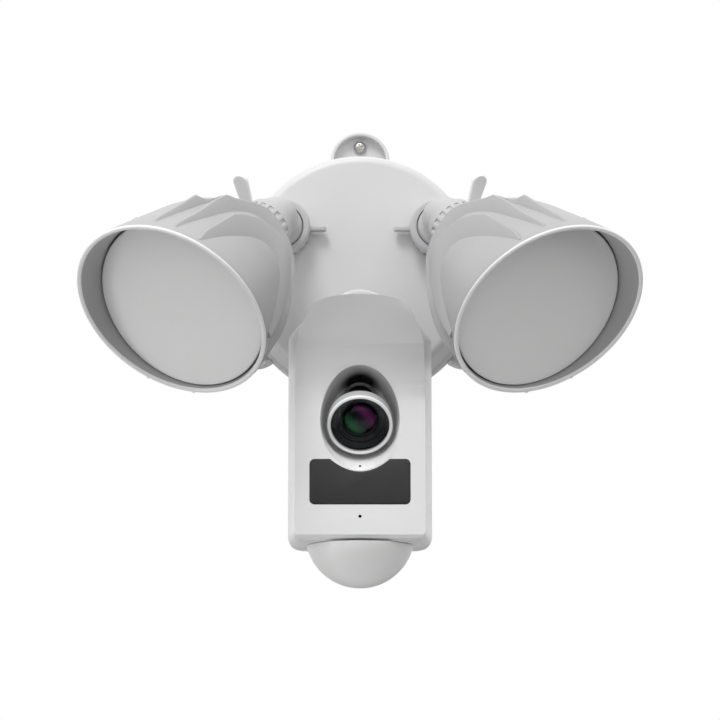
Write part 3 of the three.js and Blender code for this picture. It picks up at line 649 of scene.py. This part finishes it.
def lamp_bell(segments=144):
    """The shade from its stem to its slanted rim and back along the inside."""
    rings = []
    fixed = [(9, 9), (9, 12.6), (9.4, 14), (10.6, 15.1), (12.5, 15.5), (17.6, 15.5)]
    fixed += [(r, z) for r, z in BELL_LINE if z < 60]
    for r, z in fixed:
        rings.append([(r * math.cos(a), r * math.sin(a), z) for a in angles(segments)])
    rows = [("out", t / 8) for t in range(9)]
    rows += [("rim", k / 8) for k in range(1, 8)]
    rows += [("in", t / 5) for t in range(5, 0, -1)]
    for kind, t in rows:
        ring = []
        for a in angles(segments):
            edge = RIM + 54.5 * math.sin(a) * math.tan(TILT)
            if kind == "out":
                z = 60 + (edge - 1.2 - 60) * t
                r = bell_radius(z)
            elif kind == "rim":
                z = edge - 1.2 + 1.2 * math.sin(math.pi * t)
                r = bell_radius(edge - 1.2) - 1.2 + 1.2 * math.cos(math.pi * t)
            else:
                z = 81.2 + (edge - 1.2 - 81.2) * t
                r = bell_radius(z) - WALL
            ring.append((r * math.cos(a), r * math.sin(a), z))
        rings.append(ring)
    for r, z in [(48.1, 81), (48.1, 78.2), (47.7, 77.5), (44.7, 77.5), (44.7, 75.5), (46.8, 75.3)]:
        rings.append([(r * math.cos(a), r * math.sin(a), z) for a in angles(segments)])
    for z in (65, 50, 38, 30):
        r = bell_radius(z) - WALL
        rings.append([(r * math.cos(a), r * math.sin(a), z) for a in angles(segments)])
    for r, z in ((29, 28), (0.01, 24.5)):
        rings.append([(r * math.cos(a), r * math.sin(a), z) for a in angles(segments)])
    return loft(rings)


def angles(count):
    return [2 * math.pi * k / count for k in range(count)]


def resampled(line, count):
    lengths = [0.0]
    for p, q in zip(line, line[1:]):
        lengths.append(lengths[-1] + math.dist(p, q))
    result, k = [], 0
    for i in range(count):
        want = lengths[-1] * i / (count - 1)
        while k < len(line) - 2 and lengths[k + 1] < want:
            k += 1
        t = (want - lengths[k]) / max(lengths[k + 1] - lengths[k], 1e-9)
        result.append((line[k][0] + (line[k + 1][0] - line[k][0]) * t,
                       line[k][1] + (line[k + 1][1] - line[k][1]) * t))
    return result


def fin(x, upper, lower):
    """One cooling fin, a rounded rib that stands on the bell and ends in a hooked tip."""
    outer = [*smooth_line(upper, 7)[:-1], *smooth_line(lower, 7)]
    foot = []
    for k in range(61):
        z = upper[0][0] - (upper[0][0] - 14) * k / 60
        inside = (bell_radius(z) - 1.6) ** 2 - x * x
        if inside > 0 and z > BELL[0][1]:
            foot.append((z, math.sqrt(inside)))
    apex = foot[-1][0] - 0.4
    back = [(z, -y) for z, y in reversed(foot) if z < lower[-1][0]]
    foot = resampled([*foot, (apex, 0), *back], len(outer))
    section = [(-1.5, 0.0), (-1.5, -0.9), (-1.25, -0.3), (-0.75, 0), (0.75, 0), (1.25, -0.3), (1.5, -0.9),
               (1.5, 0.0)]
    rings = []
    for (z1, y1), (z0, y0) in zip(outer, foot):
        top, low = Vector((z1, y1)), Vector((z0, y0))
        way = (top - low)
        length = max(way.length, 1e-6)
        ring = []
        for index, (across, drop) in enumerate(section):
            p = low if index in (0, len(section) - 1) else top + way / length * max(drop, -length)
            ring.append((x + across, p.y, p.x))
        rings.append(ring)
    return loft(rings)


def bell_core():
    """The room inside the bell, which is cut out of each fin so that none shows through the wall."""
    line = [(0, 24.0)]
    line += [(bell_radius(z) - WALL + 0.4, z) for z in (26, 30, 36, 42, 50, 58, 66, 74, 82, 90, 100, 112)]
    return lathe([*line, (0, 112)], 96)


def lamp(side, word):
    ball = Vector((LAMP_BALL[0] * side, LAMP_BALL[1], LAMP_BALL[2]))
    head = aimed(ball, lamp_aim(side))
    rolled = Matrix.Rotation(-ROLL * side, 4, "Z")
    body = f"lamp_{word}"
    shell = new_object(f"{body}_shell_look", *merged(lamp_bell(), ball_shape(12.5)), head)
    for x, upper, lower in FINS:
        for across in (x, -x):
            rib = new_object("rib", *fin(across, upper, lower), head @ rolled)
            boolean(rib, new_object("core", *bell_core(), head))
            joined(shell, rib)
    # the shell gets the darker white plastic, painted shade
    finish_piece(shell, LAMP_SHADED_WHITE, body, [f"{body}_shell"], 40)
    back = head.inverted()

    def on_rim(point):
        p = back @ point
        edge = RIM + 54.5 * p.y / max(math.hypot(p.x, p.y), 1e-6) * math.tan(TILT)
        return p.z > edge - 1.25

    painted(shell, PALE_RIM_AND_PADDLE_LIGHT, on_rim)

    face = [(0, 79), (47.2, 79), (47.2, 80.7), (46.6, 81), (30, 81.25), (0, 81.4)]
    diffuser = new_object(f"{body}_diffuser_look", *lathe(rounded(face, 0.4), 144), head)
    finish_piece(diffuser, MILKY, body, [f"{body}_diffuser"])

    turn = Matrix.Rotation(math.radians(6) * side, 4, "Z")
    collar = merged(ring_shape(ARM), moved(tapered_paddle(ARM), turn))
    piece = new_object(f"{body}_lock_ring_look", *collar, head)
    # the lamp lock ring gets the darker white plastic, painted shade
    finish_piece(piece, ARM_SHADED_WHITE, f"{body}_lock", [f"{body}_lock_ring"])
    # painted light: the paddle is made pale where it faces the light, against the darker ring
    painted(piece, PALE_RIM_AND_PADDLE_LIGHT, lambda point: math.hypot(*(back @ point).xy) > ARM["ring"] + 1.5)


def arm(side, word):
    root = Vector((43.0 * side, 20.5, 46))
    ball = Vector((LAMP_BALL[0] * side, LAMP_BALL[1], LAMP_BALL[2]))
    aim = lamp_aim(side)
    corner = ball - aim * 23
    rise = (corner - root).normalized()
    start, end = corner - rise * 7, corner + aim * 7
    across = rise.cross(aim).normalized()
    curve = []
    for k in range(17):
        t = k / 16
        curve.append(start * (1 - t) ** 2 + corner * 2 * t * (1 - t) + end * t * t)
    middle = curve[8]
    parting = (aim + rise).normalized()

    neck = [root, root + rise * 9]
    neck += [start - rise * d for d in (2.6, 1.8, 1.0, 0.3)]
    radii = [9, 9, 9.1, 9.7, 10.6, 11.1]
    lower = [*neck, *curve[:8], middle - parting * 0.5, middle - parting * 0.15]
    radii = [*radii, *[11.2] * 8, 11.15, 10.8]
    elbow = merged(tube(lower, radii, across), moved(ball_shape(12.5), Matrix.Translation(root)))
    body = f"arm_{word}"
    piece = new_object(f"{body}_elbow_look", *elbow)
    # the elbow gets the darker white plastic, painted shade
    finish_piece(piece, ARM_SHADED_WHITE, body, [f"{body}_elbow"])

    flare = ((0.3, 11.25), (0.7, 11.8), (1.2, 13.0), (1.7, 13.9), (2.3, 14.2))
    mouth = [(end + aim * d, r) for d, r in flare]
    mouth = [(p, r) for p, r in mouth if (p - ball).dot(aim) < -0.8]
    mouth += [(ball - aim * 0.8, 14.2), (ball - aim * 0.4, 13.8)]
    upper = [middle + parting * 0.15, middle + parting * 0.5, *curve[9:], *[p for p, _ in mouth]]
    radii = [10.8, 11.15, *[11.2] * 8, *[r for _, r in mouth]]
    piece = new_object(f"{body}_elbow_cup_look", *tube(upper, radii, across))
    boolean(piece, new_object("bore", *lathe([(0, -13.8), (9, -13.2), (12.8, -8), (12.8, 5), (0, 5)], 64),
                              aimed(ball, aim)))
    # the elbow cup gets the darker white plastic, painted shade
    finish_piece(piece, ARM_SHADED_WHITE, body, [f"{body}_elbow_cup"])

    turn = Matrix.Rotation(math.pi if side > 0 else 0, 4, "Z")
    collar = merged(ring_shape(ARM), moved(upright_paddle(ARM), turn))
    piece = new_object(f"{body}_lock_ring_look", *collar, Matrix.Translation(root))
    # the arm lock ring gets the darker white plastic, painted shade
    finish_piece(piece, ARM_SHADED_WHITE, f"{body}_lock", [f"{body}_lock_ring"])


# ---------------------------------------------------------------- camera head
BACK, FULL, SPLIT, FACE, TIP, BOTTOM = 58.0, 64.0, 78.0, 112.0, 136.0, -158.0
NAPE_LOW, NAPE_HIGH, NAPE_RISE = -58.0, -34.0, 15.0
HOOD_START, HOOD_BEND, HOOD_TOP, HOOD_REACH = -88.0, -58.0, -34.6, 24.0
RECESS_Y, RECESS_FLOOR, RECESS_WAIST, RECESS_RIM = -96.0, 82.0, 101.0, 109.0
RECESS_HALF, RECESS_UP, RECESS_DOWN, RECESS_WALL = 20.6, 28.5, 25.8, 2.2
LENS_TAIL = 7.5
HEAD_ROOM, TAIL_ROOM = 11.5, 44.0   # how far back the shell is cleared for the lens
LENS_CENTRE = Vector((0, -98.2, 108))
LENS_AIM = Vector((0, -math.sin(math.radians(35)), math.cos(math.radians(35))))
SERVICE_Y = -124.0


def chaikin(points, rounds=2):
    for _ in range(rounds):
        fresh = [points[0]]
        for p, q in zip(points, points[1:]):
            fresh += [tuple(a * 0.75 + b * 0.25 for a, b in zip(p, q)),
                      tuple(a * 0.25 + b * 0.75 for a, b in zip(p, q))]
        points = [*fresh, points[-1]]
    return points


def body_outline(z, half, shoulder, corner_x, corner_y, top, grow=0.0):
    w, low, radius = half + grow, BOTTOM - grow, 6.0
    corner = [(w - radius + radius * math.cos(a), low + radius + radius * math.sin(a)) for a in
              [-math.pi / 2 + math.pi / 2 * k / 8 for k in range(9)]]
    x = corner_x + grow * 0.6
    crown = [(w, shoulder - 6 + grow), (w, shoulder + grow), (x, corner_y + grow),
             (x * 0.76, corner_y + grow + (top - corner_y) * 0.64), (x * 0.38, top + grow - 0.5)]
    crown = chaikin([*crown, *[(-a, b) for a, b in reversed(crown)]], 2)
    left = [(-a, b) for a, b in reversed(corner)]
    return [(a, b, z) for a, b in [*corner, *crown, *left]]


def body_solid(name, g=0.0):
    return new_object(name, *loft([
        body_outline(BACK - g, 32.5, -52, 25, -42, -38, g),
        body_outline(BACK + 2, 36, -49, 27, -38.5, -34, g),
        body_outline(FULL, 37.8, -46, 28, -35, -31, g),
        body_outline(SPLIT, 37.8, -46, 28, -35.5, -31.5, g),
        body_outline(FACE, 33.6, -53, 27.6, -40, -33.4, g),
        body_outline(TIP + 3, 30.6, -57, 26.4, -41.5, -33.9, g),
    ]))


def side_slab(g=0.0):
    face = FACE + g
    line = [(BACK - g, BOTTOM - 10), (face - 5, BOTTOM - 10), (face - 5, BOTTOM - g + 0.5),
            (face - 1.2, BOTTOM - g + 1.4), (face, BOTTOM + 3)]
    curve = HOOD_BEND - HOOD_START
    slope = HOOD_REACH / (curve / 2 + HOOD_TOP + 1 - HOOD_BEND)
    for k in range(25):
        rise = curve * k / 24
        line.append((face + slope * rise * rise / (2 * curve), HOOD_START + rise))
    line += [(face + HOOD_REACH, HOOD_TOP + 1), (face + HOOD_REACH - 3, HOOD_TOP + 8),
             (BACK + NAPE_RISE + 5.2 - g * 1.2, HOOD_TOP + 8),
             (BACK + NAPE_RISE - g * 1.2, NAPE_HIGH), (BACK - g, NAPE_LOW)]
    return new_object("side", *loft([[(x, y, z) for z, y in line] for x in (-50, 50)]))


def whole_body(name, g=0.0):
    return boolean(body_solid(name, g), side_slab(g), "INTERSECT")


def egg(z, half, up, down, count=96):
    ring = []
    for a in angles(count):
        reach = up if math.sin(a) > 0 else down
        ring.append((half * math.cos(a), RECESS_Y + reach * math.sin(a), z))
    return ring


def recess(g, floor):
    return new_object("recess", *loft([
        egg(floor, 17.6 + g, 24.5 + g, 13 + g), egg(RECESS_WAIST, 19.4 + g, 27 + g, 20.5 + g),
        egg(RECESS_RIM, RECESS_HALF + g, RECESS_UP + g, RECESS_DOWN + g),
        egg(TIP + 4, RECESS_HALF + g, RECESS_UP + g, RECESS_DOWN + g),
    ]))


def window_outline(shrink):
    half, top, bottom, r, bite = 26 - shrink, -116 - shrink, -139.6 + shrink, 2.6, 15.4 - shrink
    points = []

    def arc(cx, cy, start):
        for k in range(7):
            a = math.radians(start + 90 * k / 6)
            points.append((cx + r * math.cos(a), cy + r * math.sin(a)))

    arc(half - r, bottom + r, -90)
    arc(half - r, top - r, 0)
    for k in range(25):
        t = k / 24
        x = bite * (1 - 2 * t)
        points.append((x, top - (13 + shrink) * 2 * t * (1 - t)))
    arc(-half + r, top - r, 90)
    arc(-half + r, bottom + r, 180)
    return points


def in_recess(point):
    up = 29 if point.y > RECESS_Y else 26
    inside = (point.x / 21) ** 2 + ((point.y - RECESS_Y) / up) ** 2 < 1.02
    return inside and RECESS_FLOOR - 0.5 < point.z < RECESS_RIM + 3


def front_shell():
    shell = whole_body("camera_front_look")
    boolean(shell, whole_body("hollow", -2.6))
    cutter = slab(-60, 60, -200, 20, SPLIT - 80, SPLIT + GAP / 2)
    boolean(shell, new_object("rear_half", *cutter))
    wall = boolean(recess(RECESS_WALL, RECESS_FLOOR - RECESS_WALL), whole_body("outside"), "INTERSECT")
    boolean(shell, wall, "UNION")
    pad = new_object("pad", *extruded(window_outline(-2.5), FACE - 5, FACE - 0.02))
    boolean(shell, pad, "UNION")
    boolean(shell, recess(0, RECESS_FLOOR))
    lens = aimed(LENS_CENTRE, LENS_AIM)
    boolean(shell, new_object("seat", *cylinder(17.2, -HEAD_ROOM, 4, 96), lens))
    boolean(shell, new_object("tail", *cylinder(LENS_TAIL + GAP, -TAIL_ROOM, 0), lens))
    boolean(shell, new_object("window_cut", *extruded(window_outline(0), FACE - 2.4, FACE + 5)))
    down = Matrix.Translation((0, BOTTOM, 86)) @ Matrix.Rotation(math.pi / 2, 4, "X")
    boolean(shell, new_object("dome_cut", *cylinder(20.6, -20, 20, 48), down))
    for y, radius in ((-145.6, 0.85), (-118.6, 0.7)):
        boolean(shell, new_object("pin_hole", *cylinder(radius, 95, 140, 20), Matrix.Translation((0, y, 0))))
    bevelled(shell, 0.55, 2, 32)
    finish_piece(shell, CAMERA_WHITE, "camera", ["camera_front_shell"], sharp=30)
    # the recess faces get the plastic with painted shade above the lens
    painted(shell, RECESS_PAINTED_SHADE, in_recess)


def rear_shell():
    shell = whole_body("camera_rear_look")
    boolean(shell, whole_body("hollow", -2.6))
    cutter = slab(-60, 60, -200, 20, SPLIT - GAP / 2, SPLIT + 80)
    boolean(shell, new_object("front_half", *cutter))
    down = Matrix.Translation((0, BOTTOM, 86)) @ Matrix.Rotation(math.pi / 2, 4, "X")
    boolean(shell, new_object("dome_cut", *cylinder(20.6, -20, 20, 48), down))
    boolean(shell, new_object("neck_hole", *cylinder(7, 40, 100, 48), Matrix.Translation((0, -44, 0))))
    boolean(shell, new_object("pocket", *slab(-11, 11, SERVICE_Y - 7, SERVICE_Y + 7, BACK - 4, BACK + 4)))
    for x in (-6, -2, 2, 6):
        boolean(shell, new_object("slot", *slab(x - 0.8, x + 0.8, -105, -91, BACK - 4, BACK + 4)))
    bevelled(shell, 0.5, 2, 34)
    finish_piece(shell, CAMERA_WHITE, "camera", ["camera_rear_shell"], sharp=32)


def lens():
    place = aimed(LENS_CENTRE, LENS_AIM)
    barrel = [(LENS_TAIL, -13.6), (LENS_TAIL, -13), (16.9, -7), (16.9, -2.1), (15.2, -2.1), (15.2, -4.4),
              (12.6, -5.6),
              (12.4, -6.6), (10.2, -7.6), (10.0, -8.6), (8.6, -9.4), (8.6, -11), (0, -11), (0, -13.6),
              (LENS_TAIL, -13.6)]
    piece = new_object("lens_barrel_look", *lathe(rounded_loop(barrel, 0.3, 2), 96), place)
    finish_piece(piece, BARREL, "camera", ["lens_barrel"])
    tail = [(0, -33), (LENS_TAIL, -33), (LENS_TAIL, -13.7), (0, -13.7)]
    piece = new_object("lens_barrel_tail", *lathe(rounded(tail, 0.4, 3), 64), place)
    # the tail is coloured matt black as painted shade deep in the recess
    finish_piece(piece, TAIL_SHADE_BLACK, "camera", ())
    trim = [(15.2, -1.8), (16.9, -1.8), (16.9, -0.6), (16.3, 0.05), (15.7, 0.05), (15.2, -0.5), (15.2, -1.8)]
    piece = new_object("lens_ring_look", *lathe(rounded_loop(trim, 0.3, 3), 128), place)
    finish_piece(piece, TRIM, "camera", ["lens_ring"])
    baffle = [(14.9, -2.2), (14.9, -4.2), (12.4, -5.4), (12.2, -6.4), (10.0, -7.4), (9.8, -8.3), (8.4, -9.0),
              (8.4, -9.3), (10.1, -8.5), (10.3, -7.6), (12.5, -6.6), (12.7, -5.6), (15.1, -4.3), (15.1, -2.2),
              (14.9, -2.2)]
    piece = new_object("lens_baffle", *lathe(baffle, 96), place)
    finish_piece(piece, BLACK, "camera", ())
    crown = [(0, -10.7), (8.2, -10.7), (8.2, -7.6)]
    crown += [(8.2 * math.cos(math.radians(a)), -7.6 + 3.2 * math.sin(math.radians(a)))
              for a in range(9, 91, 9)]
    piece = new_object("lens_objective_look", *lathe(crown, 72), place)
    # the objective carries the painted green and magenta reflection
    finish_piece(piece, LENS_PAINTED_REFLECTION, "camera", ["lens_objective"])
    cover = [(0, -2.9), (14.8, -3.0), (14.8, -1.9)]
    cover += [(14.8 * math.cos(math.radians(a)), -1.9 + 1.2 * math.sin(math.radians(a)))
              for a in range(10, 91, 10)]
    piece = new_object("lens_glass_look", *lathe(cover, 96), place)
    finish_piece(piece, COVER_GLASS, "camera", ["lens_glass"])


def sensors():
    window = new_object("infrared_window_look", *extruded(window_outline(GAP), FACE - 2.1, FACE + 0.3))
    bevelled(window, 0.4, 3, 50)
    finish_piece(window, WINDOW_BLACK, "camera", ["infrared_window"], 30)
    radius, centre, start = 28.6, -151.5, BOTTOM - GAP
    outer, inner = [], []
    for k in range(17):
        a = math.acos((centre - start) / radius) * (1 - k / 16)
        outer.append((radius * math.sin(a), -radius * math.cos(a)))
        a = math.acos((centre - start) / (radius - 1.6)) * (k / 16)
        inner.append(((radius - 1.6) * math.sin(a), -(radius - 1.6) * math.cos(a)))
    place = Matrix.Translation((0, centre, 86)) @ Matrix.Rotation(-math.pi / 2, 4, "X")
    dome = new_object("motion_dome_look", *lathe([*outer, *inner, outer[0]], 96), place)
    finish_piece(dome, DOME_MILKY, "camera", ["motion_dome"])


def camera_mount():
    root = Vector((0, -34.8, 48))
    piece = new_object("camera_lock_ring_look", *ring_shape(CAM), Matrix.Translation(root))
    finish_piece(piece, WHITE, "camera_lock", ["camera_lock_ring"])
    tip = Vector((0, -41.8, 74))
    path = [root.lerp(tip, k / 6) for k in range(7)]
    ball = new_object("camera_ball_look", *moved(ball_shape(15), Matrix.Translation(root)))
    boolean(ball, new_object("neck", *tube(path, [10.5] * 7, Vector((1, 0, 0)))), "UNION")
    normal = Vector((0, -NAPE_RISE, NAPE_HIGH - NAPE_LOW)).normalized()
    seat = Vector((0, NAPE_LOW, BACK)) - normal * GAP
    boolean(ball, new_object("nape", *slab(-60, 60, -60, 60, 0, 80), aimed(seat, normal)))
    bevelled(ball, 0.4, 2, 40)
    finish_piece(ball, WHITE, "camera", ["camera_ball"])


def service_door():
    door = new_object("door", *slab(-10.7, 10.7, -129.9, -117.3, BACK, BACK + 1.6))
    roll = Matrix.Translation((0, -129.9, BACK + 0.8)) @ Matrix.Rotation(math.pi / 2, 4, "Y")
    boolean(door, new_object("roll", *cylinder(0.8, -10.7, 10.7, 24), roll), "UNION")
    boolean(door, new_object("lip", *slab(-3, 3, -119.4, -117.8, BACK - 0.7, BACK + 0.3)), "UNION")
    bevelled(door, 0.25, 2, 40)
    door.name = "service_cover_look"
    finish_piece(door, RUBBER, "service_cover", ["service_cover"])
    button = new_object("reset_button_look", *lathe(rounded(
        [(0, 60.6), (1.9, 60.6), (1.9, 64.2), (0, 64.2)], 0.3), 32), Matrix.Translation((-5, SERVICE_Y, 0)))
    finish_piece(button, CREAM, "reset_button", ["reset_button"])


wall_plate()
for number, angle in enumerate(LUG_ANGLES, 1):
    lug_screw(number, angle)
canopy()
grommet()
for side, word in ((-1, "left"), (1, "right")):
    arm(side, word)
    lamp(side, word)
front_shell()
rear_shell()
lens()
sensors()
camera_mount()
service_door()

KEPT = {
    "driver_board": BOARD, "main_board": BOARD, "infrared_board": BOARD, "service_board": BOARD,
    "motion_sensor": BOARD, "terminal_block": CREAM, "speaker": BLACK, "camera_friction_pad": RUBBER,
}
for word in ("left", "right"):
    KEPT.update({
        f"lamp_{word}_led_board": ALUMINIUM, f"lamp_{word}_seal": RUBBER,
        f"lamp_{word}_friction_pad": RUBBER, f"arm_{word}_friction_pad": RUBBER,
    })
for name, material in KEPT.items():
    node = frame["nodes"][name]
    node.data.materials.clear()
    node.data.materials.append(material)


# ---------------------------------------------------------------- studio
def soft_light(name, place, aim, size, power):
    data = bpy.data.lights.new(name, "AREA")
    data.shape, data.size, data.energy = "DISK", size, power
    lamp_object = bpy.data.objects.new(name, data)
    lamp_object.location = place
    lamp_object.rotation_mode = "QUATERNION"
    lamp_object.rotation_quaternion = (Vector(aim) - Vector(place)).to_track_quat("-Z", "Y")
    bpy.context.scene.collection.objects.link(lamp_object)


def studio():
    scene = bpy.context.scene
    surface = bpy.data.worlds.new("studio")
    scene.world = surface
    surface.use_nodes = True
    tree = surface.node_tree
    background = tree.nodes["Background"]
    coords = tree.nodes.new("ShaderNodeTexCoord").outputs["Generated"]
    split = tree.nodes.new("ShaderNodeSeparateXYZ")
    tree.links.new(coords, split.inputs["Vector"])
    ramp = tree.nodes.new("ShaderNodeMapRange")
    ramp.inputs["From Min"].default_value = -0.25
    ramp.inputs["From Max"].default_value = 0.03
    ramp.inputs["To Min"].default_value = 0.06
    ramp.inputs["To Max"].default_value = 1.0
    tree.links.new(split.outputs["Z"], ramp.inputs["Value"])
    # the backdrop itself stays plain white, and only its light is graded
    seen = tree.nodes.new("ShaderNodeMath")
    seen.operation = "MAXIMUM"
    tree.links.new(ramp.outputs["Result"], seen.inputs[0])
    tree.links.new(tree.nodes.new("ShaderNodeLightPath").outputs["Is Camera Ray"], seen.inputs[1])
    tree.links.new(seen.outputs["Value"], background.inputs["Strength"])
    background.inputs["Color"].default_value = (1, 1, 1, 1)
    scene.view_settings.view_transform = "Standard"

    floor_radius, floor_y = 1000, -1300
    verts, faces = loft([[(floor_radius * math.cos(a), y, floor_radius * math.sin(a)) for a in angles(64)]
                         for y in (floor_y, floor_y - 2)])
    floor = new_object("studio_floor", verts, faces)
    floor.data.materials.append(plastic("studio_floor_paint", (0.8, 0.8, 0.8), 0.7, 0.02, 0.005))

    low, high = cad_box
    middle = (low + high) / 2
    soft_light("key", (-0.35, -0.95, 1.3), middle, 0.6, 13.0)
    soft_light("fill", (-1.5, -0.3, -0.9), middle, 0.7, 4.2)


def photo_camera():
    data = bpy.data.cameras.new("camera")
    data.sensor_fit, data.sensor_width = "HORIZONTAL", 36.0
    data.lens = 36.0 * 2857 / 720
    data.clip_start, data.clip_end = 0.05, 50
    viewer = bpy.data.objects.new("camera", data)
    target = Vector((0, -0.090, -0.0605))
    tilt = math.radians(10)
    viewer.location = target + Vector((0, -math.cos(tilt), -math.sin(tilt))) * 1.5
    viewer.rotation_mode = "QUATERNION"
    viewer.rotation_quaternion = (target - viewer.location).to_track_quat("-Z", "Y")
    bpy.context.scene.collection.objects.link(viewer)
    bpy.context.scene.camera = viewer


studio()
photo_camera()

bpy.context.view_layer.update()
